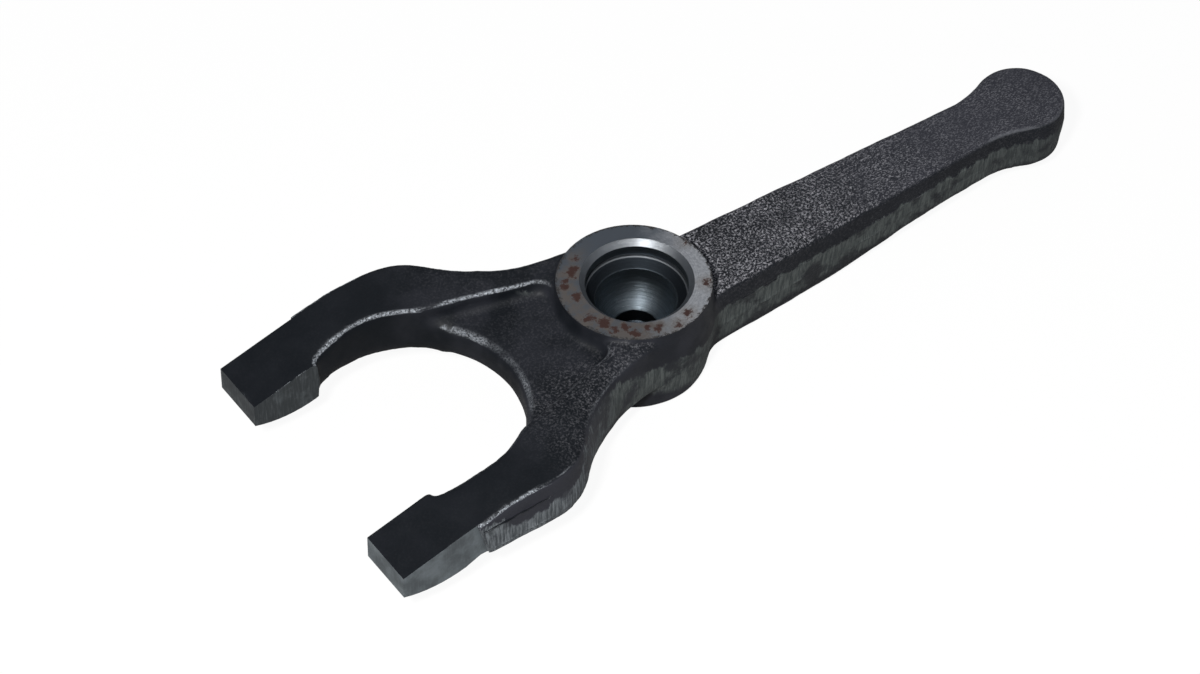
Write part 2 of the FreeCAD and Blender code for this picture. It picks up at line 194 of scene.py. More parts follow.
class Field:
    """A number that varies over the surface; arithmetic on it adds Math nodes."""

    def __init__(self, graph: Graph, socket: bpy.types.NodeSocket) -> None:
        """Wraps an output socket of the graph."""
        self.graph = graph
        self.socket = socket

    def _math(self, operation: str, *values: Number) -> Field:
        """One Math node on the values."""
        inputs = dict(enumerate(values))
        return self.graph.field("ShaderNodeMath", {"operation": operation}, inputs)

    def __add__(self, other: Number) -> Field:
        """Sum."""
        return self._math("ADD", self, other)

    def __radd__(self, other: Number) -> Field:
        """Sum, the number first."""
        return self._math("ADD", other, self)

    def __sub__(self, other: Number) -> Field:
        """Difference."""
        return self._math("SUBTRACT", self, other)

    def __rsub__(self, other: Number) -> Field:
        """Difference, the number first."""
        return self._math("SUBTRACT", other, self)

    def __mul__(self, other: Number) -> Field:
        """Product."""
        return self._math("MULTIPLY", self, other)

    def __abs__(self) -> Field:
        """Size without its sign."""
        return self._math("ABSOLUTE", self)

    def power(self, exponent: float) -> Field:
        """Raised to the exponent."""
        return self._math("POWER", self, exponent)

    def least(self, other: Number) -> Field:
        """The smaller of the two."""
        return self._math("MINIMUM", self, other)

    def most(self, other: Number) -> Field:
        """The larger of the two."""
        return self._math("MAXIMUM", self, other)

    def hypot(self, other: Field) -> Field:
        """Length of the vector (self, other)."""
        return (self * self + other * other).power(0.5)

    def step(self, low: Number, high: Number, start: float = 0.0, end: float = 1.0) -> Field:
        """Smooth step from start, at low, to end, at high."""
        return self.graph.field("ShaderNodeMapRange", {"interpolation_type": "SMOOTHSTEP"},
                                {0: self, 1: low, 2: high, 3: start, 4: end})


def rgba(value: Any) -> Any:
    """A colour with full alpha, or the socket it was given."""
    return (*value, 1.0) if isinstance(value, tuple) else value


def gathered(ends: np.ndarray, values: np.ndarray, count: int) -> np.ndarray:
    """Sum of the rows of values that fall on each of the points."""
    columns = [np.bincount(ends, column, count) for column in values.T]
    return np.stack(columns, axis=1)


def unit(vectors: np.ndarray) -> np.ndarray:
    """The vectors at a length of 1."""
    return vectors / np.maximum(np.linalg.norm(vectors, axis=1, keepdims=True), TINY)


# ---- Fine shell --------------------------------------------------------------------------------


class Region(IntEnum):
    """How a face of the fork was made; the number is its material's place."""

    SKIN = 0
    RING = 1
    SOCKET = 2
    MILLED = 3
    LAND = 4


@dataclass
class Shell:
    """Triangles of a closed surface: points, corners of each triangle and the region of each."""

    points: np.ndarray
    corners: np.ndarray
    regions: np.ndarray

    @classmethod
    def copied(cls, node: bpy.types.Object) -> Shell:
        """Copies a CAD node and joins the points that lie within a micrometre of each other.

        Args:
            node: the CAD object, which isn't changed.

        Returns:
            The joined copy, with every face in the skin region.
        """
        mesh = node.data
        mesh.calc_loop_triangles()
        raw = np.empty(len(mesh.vertices) * 3)
        mesh.vertices.foreach_get("co", raw)
        corners = np.empty(len(mesh.loop_triangles) * 3, dtype=np.int64)
        mesh.loop_triangles.foreach_get("vertices", corners)
        keys = np.round(raw.reshape(-1, 3) / JOIN).astype(np.int64)
        _, first, inverse = np.unique(keys, axis=0, return_index=True, return_inverse=True)
        corners = inverse.reshape(-1)[corners].reshape(-1, 3)
        whole = (corners[:, 0] != corners[:, 1]) & (corners[:, 1] != corners[:, 2]) & (
            corners[:, 2] != corners[:, 0])
        corners = corners[whole]
        return cls(raw.reshape(-1, 3)[first], corners, np.zeros(len(corners), dtype=np.int64))

    def middles(self) -> np.ndarray:
        """Middle of each triangle."""
        return self.points[self.corners].mean(axis=1)

    def _across(self) -> np.ndarray:
        """Cross product of two sides of each triangle."""
        a, b, c = (self.points[self.corners[:, i]] for i in range(3))
        return np.cross(b - a, c - a)

    def face_normals(self) -> np.ndarray:
        """Outward unit normal of each triangle."""
        return unit(self._across())

    def normals(self) -> np.ndarray:
        """Unit normal at each point, the sum of its triangles' normals by area."""
        across = np.repeat(self._across(), 3, axis=0)
        return unit(gathered(self.corners.ravel(), across, len(self.points)))

    def sides(self) -> tuple[np.ndarray, np.ndarray]:
        """The shell's edges.

        Returns:
            Both ends of each edge, and the numbers of each triangle's three edges.
        """
        pairs = np.sort(self.corners[:, [[0, 1], [1, 2], [2, 0]]].reshape(-1, 2), axis=1)
        edges, number = np.unique(pairs, axis=0, return_inverse=True)
        return edges, number.reshape(-1, 3)

    def refine(self, limits: np.ndarray, passes: int) -> np.ndarray:
        """Halves long edges until none is longer than its limit.

        In each pass every triangle with an edge over its limit marks its longest one, and each
        triangle is cut at the middles of its marked edges, in two, three or four, so neighbours
        always stay joined.

        Args:
            limits: longest edge wanted at each point; an edge takes the mean of its ends.
            passes: most passes made.

        Returns:
            The limits of all points, the new ones included.
        """
        for _ in range(passes):
            edges, number = self.sides()
            lengths = np.linalg.norm(self.points[edges[:, 0]] - self.points[edges[:, 1]], axis=1)
            excess = (lengths / limits[edges].mean(axis=1))[number]
            worst = number[np.arange(len(number)), lengths[number].argmax(axis=1)]
            marked = np.zeros(len(edges), dtype=bool)
            marked[worst[excess.max(axis=1) > 1.0]] = True
            if not marked.any():
                break
            middle = np.full(len(edges), -1)
            middle[marked] = len(self.points) + np.arange(marked.sum())
            self.points = np.concatenate([self.points, self.points[edges[marked]].mean(axis=1)])
            limits = np.concatenate([limits, limits[edges[marked]].mean(axis=1)])
            self._cut(middle[number])
        return limits

    def _cut(self, middles: np.ndarray) -> None:
        """Replaces each triangle by its pieces.

        Args:
            middles: number of the point at the middle of each triangle's edges, -1 where an
                edge isn't cut.
        """
        cuts = (middles >= 0).sum(axis=1)
        # Turned so that the first edge is cut, and with two cuts the last edge is left whole.
        first_whole = (middles < 0).argmax(axis=1)
        first_cut = (middles >= 0).argmax(axis=1)
        turn = np.where(cuts == 2, first_whole + 1, first_cut) % 3
        order = (turn[:, None] + np.arange(3)) % 3
        a, b, c = np.take_along_axis(self.corners, order, axis=1).T
        m, n, p = np.take_along_axis(middles, order, axis=1).T
        patterns = {
            0: [(a, b, c)],
            1: [(a, m, c), (m, b, c)],
            2: [(m, b, n), (a, m, n), (a, n, c)],
            3: [(a, m, p), (m, b, n), (p, n, c), (m, n, p)],
        }
        pieces = []
        regions = []
        for count, triangles in patterns.items():
            rows = cuts == count
            for triangle in triangles:
                pieces.append(np.stack(triangle, axis=1)[rows])
                regions.append(self.regions[rows])
        self.corners = np.concatenate(pieces)
        self.regions = np.concatenate(regions)

    def bending(self, smoothings: int) -> np.ndarray:
        """How sharply the surface bends at each point.

        For each edge it is the change of normal along the line between the two triangles'
        middles, over the distance, which is positive on a ridge and negative in a hollow.  A point
        takes the mean of its edges, and is then averaged with its neighbours.

        Args:
            smoothings: number of times the values are averaged.

        Returns:
            Bending of each point, in 1/m.
        """
        edges, number = self.sides()
        order = np.argsort(number.ravel(), kind="stable")
        owners = order // 3
        starts = np.searchsorted(number.ravel()[order], np.arange(len(edges)))
        first = owners[starts]
        second = owners[np.minimum(starts + 1, len(owners) - 1)]
        middles = self.middles()
        normals = self.face_normals()
        line = middles[second] - middles[first]
        span = np.maximum((line ** 2).sum(axis=1), LEAST_SPAN)
        bend = ((normals[second] - normals[first]) * line).sum(axis=1) / span
        ends = edges.T.ravel()
        count = np.maximum(np.bincount(ends, minlength=len(self.points)), 1)
        bend = np.tile(np.clip(bend, -MOST_BEND, MOST_BEND), 2)
        value = np.bincount(ends, bend, len(self.points)) / count
        for _ in range(smoothings):
            around = np.concatenate([value[edges[:, 1]], value[edges[:, 0]]])
            value = 0.5 * value + 0.5 * np.bincount(ends, around, len(self.points)) / count
        return value

    def relax(self, share: np.ndarray, passes: int) -> None:
        """Moves points towards the mean of their neighbours, which softens edges and steps.

        Args:
            share: how far each point goes, from 0 to 1.
            passes: number of times it is done.
        """
        edges, _ = self.sides()
        ends = edges.T.ravel()
        others = edges[:, ::-1].T.ravel()
        count = np.maximum(np.bincount(ends, minlength=len(self.points)), 1)[:, None]
        for _ in range(passes):
            around = gathered(ends, self.points[others], len(self.points)) / count
            self.points = self.points + (around - self.points) * share[:, None]


@dataclass(frozen=True)
class Lumps:
    """Smooth random unevenness: a sum of plane waves of about one length in random directions."""

    length_mm: float
    height_mm: float
    seed: int
    waves: int = 28
    shortest: float = 0.7
    longest: float = 1.4

    def at(self, points: np.ndarray) -> np.ndarray:
        """Height at each point, in metres.

        The height is sqrt(2 / waves) times the sum of sin(k . p + phase), where each k has a
        random direction and a length of 2 pi over shortest to longest times the wave length.

        Args:
            points: places on the surface, in metres.

        Returns:
            Height of the unevenness at each place.
        """
        rng = np.random.default_rng(self.seed)
        ways = rng.normal(size=(self.waves, 3))
        ways /= np.linalg.norm(ways, axis=1, keepdims=True)
        lengths = self.length_mm * MM * rng.uniform(self.shortest, self.longest, self.waves)
        phases = rng.uniform(0.0, 2.0 * math.pi, self.waves)
        waves = np.sin(points @ (ways * (2.0 * math.pi / lengths)[:, None]).T + phases)
        return self.height_mm * MM * math.sqrt(2.0 / self.waves) * waves.sum(axis=1)


# ---- Finishes ----------------------------------------------------------------------------------

# A Span holds the two ends of a smooth step and, where they aren't 0 and 1, its values there.
# A Grain holds a noise's scale, detail and roughness, and its distortion where it has one.


@dataclass(frozen=True)
class FlashBand:
    """Pale stripe where the flash was trimmed: a ragged upper edge, on the outer walls only."""

    # height of the upper edge: level along the arm, up over the waist, lower on the prongs
    arm_edge: Span = (60.0, 122.0, -3.6, -2.2)
    boss_rise: Span = (18.0, -12.0)
    boss_height: float = 3.0
    waist_rise: Span = (-8.0, -30.0)
    waist_end: Span = (-56.0, -46.0)
    waist_height: float = 7.0
    prong_rise: Span = (-40.0, -58.0)
    prong_height: float = 3.2
    pad_fall: Span = (-62.0, -68.0)
    pad_drop: float = -2.6
    notch_rise: Span = (-76.0, -81.0)
    notch_height: float = 6.0
    arm_foot: Span = (20.0, 122.0, -17.0, -12.0)
    yoke_foot: Span = (8.0, -30.0)
    yoke_height: float = 9.0
    upper_half: float = 0.5
    lower_half: float = 1.5
    upright: Span = (0.96, 0.88)
    ragged_stretch: Colour = (0.22, 0.22, 0.05)
    ragged: Grain = (1.0, 6.0, 0.78)
    ragged_height: float = 9.0
    prong_reach: Span = (-75.0, -44.0, 40.0, 29.0)
    waist_reach: Span = (-44.0, -24.0)
    waist_narrowing: float = -12.0
    wall_edge: Span = (-1.0, 1.0)
    arm_start: Span = (-2.0, 6.0)
    smudge: Grain = (0.10, 4.0, 0.68)
    smudge_span: Span = (0.38, 0.52, 0.12, 1.0)
    thinning: Span = (118.0, 140.0, 1.0, 0.60)

    def share(self, g: Graph, p: bpy.types.NodeSocket) -> Field:
        """Share of the stripe at each place.

        Args:
            g: the material's tree.
            p: place in millimetres.

        Returns:
            1 on the stripe and 0 away from it.
        """
        x, y, z = g.parts(p)
        jagged = g.noise(g.stretched(p, self.ragged_stretch), *self.ragged)
        jagged = (jagged - 0.5) * self.ragged_height
        waist = x.step(*self.waist_rise) * x.step(*self.waist_end) * self.waist_height
        upper = x.step(*self.arm_edge) + x.step(*self.boss_rise) * self.boss_height + waist
        upper = upper + x.step(*self.prong_rise) * self.prong_height
        upper = upper + x.step(*self.pad_fall) * self.pad_drop
        upper = upper + x.step(*self.notch_rise) * self.notch_height
        lower = x.step(*self.arm_foot) + x.step(*self.yoke_foot) * self.yoke_height
        below = z.step(upper + jagged + self.upper_half, upper + jagged - self.upper_half)
        above = z.step(lower + jagged - self.lower_half, lower + jagged + self.lower_half)
        reach = x.step(*self.prong_reach) + x.step(*self.waist_reach) * self.waist_narrowing
        outward = (abs(y) - reach).step(*self.wall_edge).most(x.step(*self.arm_start))
        smudged = g.noise(p, *self.smudge).step(*self.smudge_span)
        side = abs(g.upward()).step(*self.upright)
        return below * above * side * outward * smudged * x.step(*self.thinning)


@dataclass(frozen=True)
class SkinFinish:
    """Dark forging scale: granular arm, worn ridges with painted highlights, painted light on
    walls and arm top, and the trimmed flash's pale band.
    """

    dark: Colour = (0.0045, 0.0062, 0.0090)
    soft: Colour = (0.034, 0.0355, 0.0455)
    # pale crests of the grain, partly painted glitter
    crest_and_glitter: Colour = (0.58, 0.580, 0.630)
    # colour of the ridges: partly steel worn bright, partly painted highlight
    rubbed_and_highlit: Colour = (0.66, 0.71, 0.78)
    # painted highlight along the paddle's rim
    rim: Colour = (0.135, 0.142, 0.160)
    band: Colour = (0.048, 0.056, 0.057)
    band_pale: Colour = (0.125, 0.140, 0.137)
    yoke_band: Colour = (0.062, 0.070, 0.077)
    yoke_band_pale: Colour = (0.215, 0.236, 0.255)
    # where the arm, the yoke, the prongs and the trimmed land lie, and how level a top face is
    arm_start: Span = (17.0, 22.0)
    arm_run: Span = (40.0, 125.0)
    yoke_start: Span = (-22.0, -46.0)
    prong_start: Span = (-52.0, -74.0)
    land_depth: float = 7.6
    land_half: Span = (5.0, 4.2)
    level: Span = (0.45, 0.85)
    # granular scale, whose pale crests are partly painted glitter
    coarse: Grain = (1.45, 4.0, 0.74, 0.4)
    fine_stretch: Colour = (1.5, 2.7, 2.7)
    fine: Grain = (1.0, 3.0, 0.70)
    yoke_run: Span = (-66.0, -40.0)
    rib_side: Span = (-8.0, -20.0)
    rib_grain: float = 0.15
    web_grain: float = 0.035
    prong_grain: float = 0.006
    end_loss: float = 0.80
    wall_grain: float = 0.06
    wear_and_glitter: Grain = (0.13, 4.0, 0.65)
    wear_and_glitter_span: Span = (0.30, 0.66, 0.45, 1.0)
    speck_span: Span = (0.475, 0.63)
    # ridges worn bright and painted as highlights where they face the lamp, and a painted
    # highlight on the paddle's rim
    crown_height: float = 0.72
    crown_width: Span = (0.25, 0.05)
    inner_y: Span = (38.0, 34.0)
    inner_x: Span = (-18.0, -26.0)
    near_glint_loss: Span = (-24.0, -4.0, 0.12, 1.0)
    outer_y: Span = (42.0, 44.0)
    outer_x: Span = (-52.0, -62.0)
    sharpness: Span = (0.12, 0.50)
    glitter: Grain = (1.9, 4.0, 0.8)
    glitter_span: Span = (0.40, 0.60)
    glint_patches: Grain = (0.09, 3.0, 0.6)
    glint_patches_span: Span = (0.32, 0.52, 0.50, 1.0)
    rim_sharpness: Span = (0.15, 0.65)
    rim_height: float = 0.66
    rim_width: Span = (0.34, 0.04)
    rim_run: Span = (98.0, 128.0)
    rim_share: float = 0.6
    # streaks of the band, clouds on the scale, and painted light on the walls and the arm's top
    streak_stretch: Colour = (1.5, 1.5, 0.12)
    streak: Grain = (1.0, 4.0, 0.72)
    streak_span: Span = (0.36, 0.68)
    cloud: Grain = (0.07, 3.0, 0.6)
    cloud_span: Span = (0.36, 0.66)
    cloud_share: float = 0.35
    prong_cloud_loss: float = 0.25
    wall_cloud_loss: float = 0.25
    # painted light: walls outside the gap lighter than the tops, less on the arm, more on the yoke
    wall_light: float = 0.34
    arm_wall_light_loss: float = 0.20
    yoke_wall_light_gain: float = 0.55
    # painted sheen: the arm's top lighter, most towards its push end
    end_sheen: float = 0.74
    arm_sheen: float = 0.12
    # gloss and bump
    base_roughness: float = 0.44
    gloss: Grain = (0.35, 3.0, 0.6)
    gloss_share: float = 0.18
    glint_gloss: float = 0.16
    band_roughness: float = 0.62
    glint_metal: float = 0.7
    specular: float = 0.21
    glint_bump: float = 0.25
    base_bump: float = 0.05
    band_bump: float = 0.20
    bump_mm: float = 0.70

    def material(self) -> bpy.types.Material:
        """Builds the finish."""
        g = Graph("forging_skin")
        p = g.place_mm()
        x, y, z = g.parts(p)
        up = g.upward()
        ridge = g.attribute("ridge")
        on_arm = x.step(*self.arm_start)
        land = on_arm * abs(z + self.land_depth).step(*self.land_half)
        top = abs(up).step(*self.level) * (1 - land)
        wall = 1 - top

        # coarse beside the boss, finer towards the push end, faint on the yoke
        coarse = g.noise(p, *self.coarse)
        far = x.step(*self.arm_run)
        grain = coarse + far * (g.noise(g.stretched(p, self.fine_stretch), *self.fine) - coarse)
        yoke = y.step(*self.rib_side) * self.rib_grain + self.web_grain
        yoke = x.step(*self.yoke_run) * yoke + self.prong_grain
        strength = top * (on_arm * (1 - far * self.end_loss) + (1 - on_arm) * yoke)
        strength = strength + wall * on_arm * self.wall_grain
        # pale specks on the grain's crests: partly the scale's own pale tone, partly painted
        # glitter of the lamp
        worn = g.noise(p, *self.wear_and_glitter).step(*self.wear_and_glitter_span)
        speck = grain.step(*self.speck_span) * strength * worn

        # ridges worn bright and painted as highlights on the rounded edges in the gap and outside
        # the prongs; the near side, which faces away from the lamp, is kept faint
        inner = abs(y).step(*self.inner_y) * x.step(*self.inner_x) * y.step(*self.near_glint_loss)
        outer = abs(y).step(*self.outer_y) * x.step(*self.outer_x)
        crown = abs(up - self.crown_height).step(*self.crown_width)
        glint = ridge.step(*self.sharpness) * crown * inner.most(outer)
        glint = glint * g.noise(p, *self.glitter).step(*self.glitter_span)
        glint = glint * g.noise(p, *self.glint_patches).step(*self.glint_patches_span)
        # painted highlight along the rounded rim of the paddle
        rim = abs(up - self.rim_height).step(*self.rim_width) * x.step(*self.rim_run)
        rim = ridge.step(*self.rim_sharpness) * rim

        band = FlashBand().share(g, p)
        streak = g.noise(g.stretched(p, self.streak_stretch), *self.streak)
        behind = x.step(*self.yoke_start)
        trimmed = g.mix(streak.step(*self.streak_span),
                        g.mix(behind, self.band, self.yoke_band),
                        g.mix(behind, self.band_pale, self.yoke_band_pale))

        cloud = g.noise(p, *self.cloud).step(*self.cloud_span)
        cloudy = self.cloud_share - x.step(*self.prong_start) * self.prong_cloud_loss
        cloudy = cloudy - on_arm * wall * self.wall_cloud_loss
        # painted light: walls outside the gap are lifted above the tops, those in the gap are left
        # dark
        side = self.wall_light - on_arm * self.arm_wall_light_loss + behind * self.yoke_wall_light_gain
        shade = cloud * cloudy + wall * (1 - inner) * side
        # painted sheen on the arm's top, most towards its push end
        shade = shade + on_arm * top * (far * self.end_sheen + self.arm_sheen)
        tint = g.mix(speck, g.mix(shade, self.dark, self.soft), self.crest_and_glitter)
        skin = g.mix(glint, g.mix(rim * self.rim_share, tint, self.rim), self.rubbed_and_highlit)
        roughness = self.base_roughness + g.noise(p, *self.gloss) * self.gloss_share
        roughness = roughness - glint * self.glint_gloss
        height = grain * (strength + glint * self.glint_bump + self.base_bump) * (1 - band)
        height = height + streak * band * self.band_bump
        return g.surface({
            "Base Color": g.mix(band, skin, trimmed),
            "Roughness": roughness + band * (self.band_roughness - roughness),
            "Metallic": glint * self.glint_metal * (1 - band),
            "Specular IOR Level": self.specular,
            "Normal": g.bump(height, self.bump_mm * MM),
        })


@dataclass(frozen=True)
class RustSpot:
    """Rust patch on the ring: bearing in degrees, distance from the axis and radius in mm."""

    bearing: float
    distance: float
    radius: float


@dataclass(frozen=True)
class RingFinish:
    """Faced ring: greyed turned steel, rust spots, a painted highlight on one side, a stained side
    and a nicked rim.
    """

    # bright steel, shown only where the highlight is painted
    steel: Colour = (0.76, 0.76, 0.77)
    greyed: Colour = (0.150, 0.168, 0.190)
    stained: Colour = (0.128, 0.115, 0.108)
    rust: Colour = (0.034, 0.0135, 0.0105)
    nick: Colour = (0.030, 0.028, 0.028)
    spots: tuple[RustSpot, ...] = (
        RustSpot(118.0, 19.6, 0.7), RustSpot(131.0, 18.6, 1.0), RustSpot(139.0, 18.9, 1.4),
        RustSpot(146.0, 20.4, 1.0), RustSpot(152.0, 21.3, 0.8), RustSpot(166.0, 18.5, 1.3),
        RustSpot(192.0, 20.2, 1.4), RustSpot(205.0, 19.2, 1.9), RustSpot(216.0, 20.6, 1.0),
        RustSpot(224.0, 18.9, 1.3), RustSpot(232.0, 20.7, 1.2), RustSpot(243.0, 18.4, 0.8),
        RustSpot(252.0, 19.8, 0.9), RustSpot(268.0, 20.8, 0.8), RustSpot(284.0, 19.2, 0.8),
        RustSpot(322.0, 20.2, 1.1), RustSpot(12.0, 20.8, 0.7),
    )
    # outline of the rust, in mm
    wobble: Grain = (0.42, 6.0, 0.80)
    wobble_mm: float = 8.5
    inset: float = 0.10
    rust_edge: Span = (0.5, -0.3)
    halo_edge: Span = (3.4, 0.2)
    # stained side
    stain_way: tuple[float, float] = (-0.85, -0.20)
    stain_run: Span = (-6.0, 16.0)
    cloud: Grain = (0.28, 4.0, 0.68)
    cloud_span: Span = (0.36, 0.62)
    halo_share: float = 0.45
    stain_share: float = 0.85
    # nicked rim
    rim_centre_x: float = -1.0
    rim_span: Span = (22.3, 22.6)
    nicks: Grain = (0.6, 5.0, 0.8)
    nicks_mm: float = 8.0
    # steel: turning marks, a painted highlight on the side towards +x and -y, and mottling
    lathe_pitch: float = 3.2
    lathe: Grain = (1.0, 3.0, 0.7)
    lathe_span: Span = (0.3, 0.7)
    lathe_share: float = 0.30
    highlight_way: tuple[float, float] = (0.80, -0.60)
    highlight_wander: float = 14.0
    highlight_run: Span = (-2.0, 17.0)
    mottle: Grain = (1.1, 4.0, 0.75)
    mottle_span: Span = (0.35, 0.65)
    mottle_share: float = 0.40
    # gloss and bump
    base_roughness: float = 0.36
    stain_roughness: float = 0.16
    rust_roughness: float = 0.40
    cloud_roughness: float = 0.12
    stain_metal_loss: float = 0.45
    lathe_bump: float = 0.10
    rust_grain: Grain = (2.5, 2.0, 0.6)
    rust_bump: float = 0.5
    nick_bump: float = 0.8
    bump_mm: float = 0.12

    def nearest_spot(self, x: Field, y: Field) -> Field:
        """Distance to the edge of the nearest rust spot, negative inside it."""
        near = None
        for spot in self.spots:
            angle = math.radians(spot.bearing)
            from_x = x - spot.distance * math.cos(angle)
            from_y = y - spot.distance * math.sin(angle)
            gap = from_x.hypot(from_y) - spot.radius
            near = gap if near is None else near.least(gap)
        return near

    def material(self) -> bpy.types.Material:
        """Builds the finish."""
        g = Graph("turned_ring")
        p = g.place_mm()
        x, y, _ = g.parts(p)
        wavy = self.nearest_spot(x, y) + (g.noise(p, *self.wobble) - 0.5) * self.wobble_mm
        rust = (wavy - self.inset).step(*self.rust_edge)
        side = (x * self.stain_way[0] + y * self.stain_way[1]).step(*self.stain_run)
        cloud = g.noise(p, *self.cloud)
        stain = side * cloud.step(*self.cloud_span) * self.stain_share
        stain = (wavy.step(*self.halo_edge) * self.halo_share + stain).least(1.0)
        chipped = (g.noise(p, *self.nicks) - 0.5) * self.nicks_mm
        nicks = ((x - self.rim_centre_x).hypot(y) + chipped).step(*self.rim_span)
        lathe = g.noise(g.vector(x.hypot(y) * self.lathe_pitch, 0.0, 0.0), *self.lathe)
        # painted highlight: bright steel on the side towards +x and -y, broken by turning marks
        # and mottling
        highlit_side = x * self.highlight_way[0] + y * self.highlight_way[1] + (cloud - 0.5) * self.highlight_wander
        turned = lathe.step(*self.lathe_span) * self.lathe_share
        highlit_side = highlit_side.step(*self.highlight_run) * (1 - turned)
        mottle = g.noise(p, *self.mottle).step(*self.mottle_span)
        steel = g.mix(highlit_side * (1 - mottle * self.mottle_share), self.greyed, self.steel)
        colour = g.mix(rust, g.mix(stain, steel, self.stained), self.rust)
        height = lathe * self.lathe_bump * (1 - rust) - nicks * self.nick_bump
        height = height + rust * g.noise(p, *self.rust_grain) * self.rust_bump
        return g.surface({
            "Base Color": g.mix(nicks, colour, self.nick),
            "Roughness": (self.base_roughness + stain * self.stain_roughness
                          + rust * self.rust_roughness + cloud * self.cloud_roughness),
            "Metallic": (1 - rust) * (1 - stain * self.stain_metal_loss) * (1 - nicks),
            "Normal": g.bump(height, self.bump_mm * MM),
        })


@dataclass(frozen=True)
class SocketFinish:
    """Bored and ball-ended socket: dark oiled steel with fine turning rings."""

    steel: Colour = (0.136, 0.162, 0.184)
    oiled: Colour = (0.078, 0.094, 0.110)
    # darker ledge, and painted shade in the relief hole below the seat
    ledge_dark_and_hole_shade: Colour = (0.022, 0.027, 0.033)
    # bright chamfer, and a painted highlight line at the top of the ledge
    bright: Colour = (0.30, 0.32, 0.345)
    # heights in mm
    ledge: Span = (1.8, 2.3)
    ledge_top: Span = (4.42, 4.38)
    highlight_line_z: float = 4.25
    highlight_line_half: Span = (0.22, 0.05)
    highlight_line_share: float = 0.6
    chamfer: Span = (8.25, 8.35)
    relief: Span = (-9.6, -10.4)
    # turning rings: pitch along the bore and noise of each kind
    rings_pitch: float = 1.7
    rings: Grain = (1.0, 4.0, 0.75)
    rings_span: Span = (0.38, 0.62)
    rings_share: float = 0.6
    broad_pitch: float = 0.8
    broad: Grain = (1.0, 2.0, 0.5)
    broad_span: Span = (0.40, 0.65)
    broad_share: float = 0.4
    fine_pitch: float = 4.2
    fine: Grain = (1.0, 2.0, 0.6)
    fine_span: Span = (0.40, 0.60)
    worn_share: float = 0.7
    fine_share: float = 0.3
    # gloss and bump
    base_roughness: float = 0.37
    gloss: Grain = (0.25, 3.0, 0.6)
    gloss_share: float = 0.08
    ledge_roughness: float = 0.20
    bump_mm: float = 0.22

    def material(self) -> bpy.types.Material:
        """Builds the finish."""
        g = Graph("turned_socket")
        p = g.place_mm()
        x, y, z = g.parts(p)
        along = x.hypot(y) + z
        rings = g.noise(g.vector(along * self.rings_pitch, 0.0, 0.0), *self.rings)
        broad = g.noise(g.vector(along * self.broad_pitch, 0.0, 0.0), *self.broad)
        fine = g.noise(g.vector(along * self.fine_pitch, 0.0, 0.0), *self.fine)
        worn = rings.step(*self.rings_span) * self.rings_share
        worn = worn + broad.step(*self.broad_span) * self.broad_share
        worn = worn * self.worn_share + fine.step(*self.fine_span) * self.fine_share
        ledge = z.step(*self.ledge) * z.step(*self.ledge_top)
        # painted highlight: a thin bright line at the top of the ledge
        edge = abs(z - self.highlight_line_z).step(*self.highlight_line_half) * self.highlight_line_share
        seat = g.mix(ledge, g.mix(worn, self.steel, self.oiled), self.ledge_dark_and_hole_shade)
        # painted shade: the relief hole below the seat is dark
        bore = g.mix(z.step(*self.relief), seat, self.ledge_dark_and_hole_shade)
        return g.surface({
            "Base Color": g.mix(z.step(*self.chamfer).most(edge), bore, self.bright),
            "Roughness": (self.base_roughness + g.noise(p, *self.gloss) * self.gloss_share
                          + ledge * self.ledge_roughness),
            "Metallic": 1.0,
            "Normal": g.bump(rings, self.bump_mm * MM),
        })


@dataclass(frozen=True)
class MilledFinish:
    """Milled pads: grey steel with faint upright cutter marks, oilier on the left prong."""

    steel: Colour = (0.185, 0.215, 0.235)
    oily: Colour = (0.040, 0.047, 0.052)
    scored: Colour = (0.24, 0.27, 0.29)
    scale: Colour = (0.0060, 0.0080, 0.0110)
    # painted highlight along the rounded edges
    edge: Colour = (0.42, 0.46, 0.50)
    patches: Grain = (0.11, 4.0, 0.65)
    patches_span: Span = (0.34, 0.66)
    patches_share: float = 0.6
    left_prong: Span = (-10.0, 10.0)
    left_share: float = 0.75
    marks_stretch: Colour = (2.4, 2.4, 0.20)
    marks: Grain = (1.0, 3.0, 0.65)
    marks_span: Span = (0.45, 0.75)
    marks_share: float = 0.22
    # a painted highlight along the rounded edge, and above it the forging scale comes over the
    # rounding
    crown_height: float = 0.42
    crown_width: Span = (0.22, 0.04)
    crown: Grain = (1.6, 4.0, 0.75)
    crown_span: Span = (0.40, 0.60)
    crown_share: float = 0.35
    scale_start: Span = (0.52, 0.66)
    base_roughness: float = 0.42
    patch_roughness: float = 0.15
    metal: float = 0.35
    bump_mm: float = 0.04

    def material(self) -> bpy.types.Material:
        """Builds the finish."""
        g = Graph("milled_pads")
        p = g.place_mm()
        _, y, _ = g.parts(p)
        up = g.upward()
        patches = g.noise(p, *self.patches).step(*self.patches_span)
        oil = patches * self.patches_share + y.step(*self.left_prong) * self.left_share
        marks = g.noise(g.stretched(p, self.marks_stretch), *self.marks)
        steel = g.mix(oil.least(1.0), self.steel, self.oily)
        steel = g.mix(marks.step(*self.marks_span) * self.marks_share, steel, self.scored)
        # painted highlight along the rounded edge, broken up by noise
        crown = abs(up - self.crown_height).step(*self.crown_width)
        crown = crown * g.noise(p, *self.crown).step(*self.crown_span) * self.crown_share
        scaled = up.step(*self.scale_start)
        return g.surface({
            "Base Color": g.mix(scaled, g.mix(crown, steel, self.edge), self.scale),
            "Roughness": self.base_roughness + patches * self.patch_roughness,
            "Metallic": (1 - scaled) * self.metal,
            "Normal": g.bump(marks, self.bump_mm * MM),
        })


# ---- The fork ----------------------------------------------------------------------------------


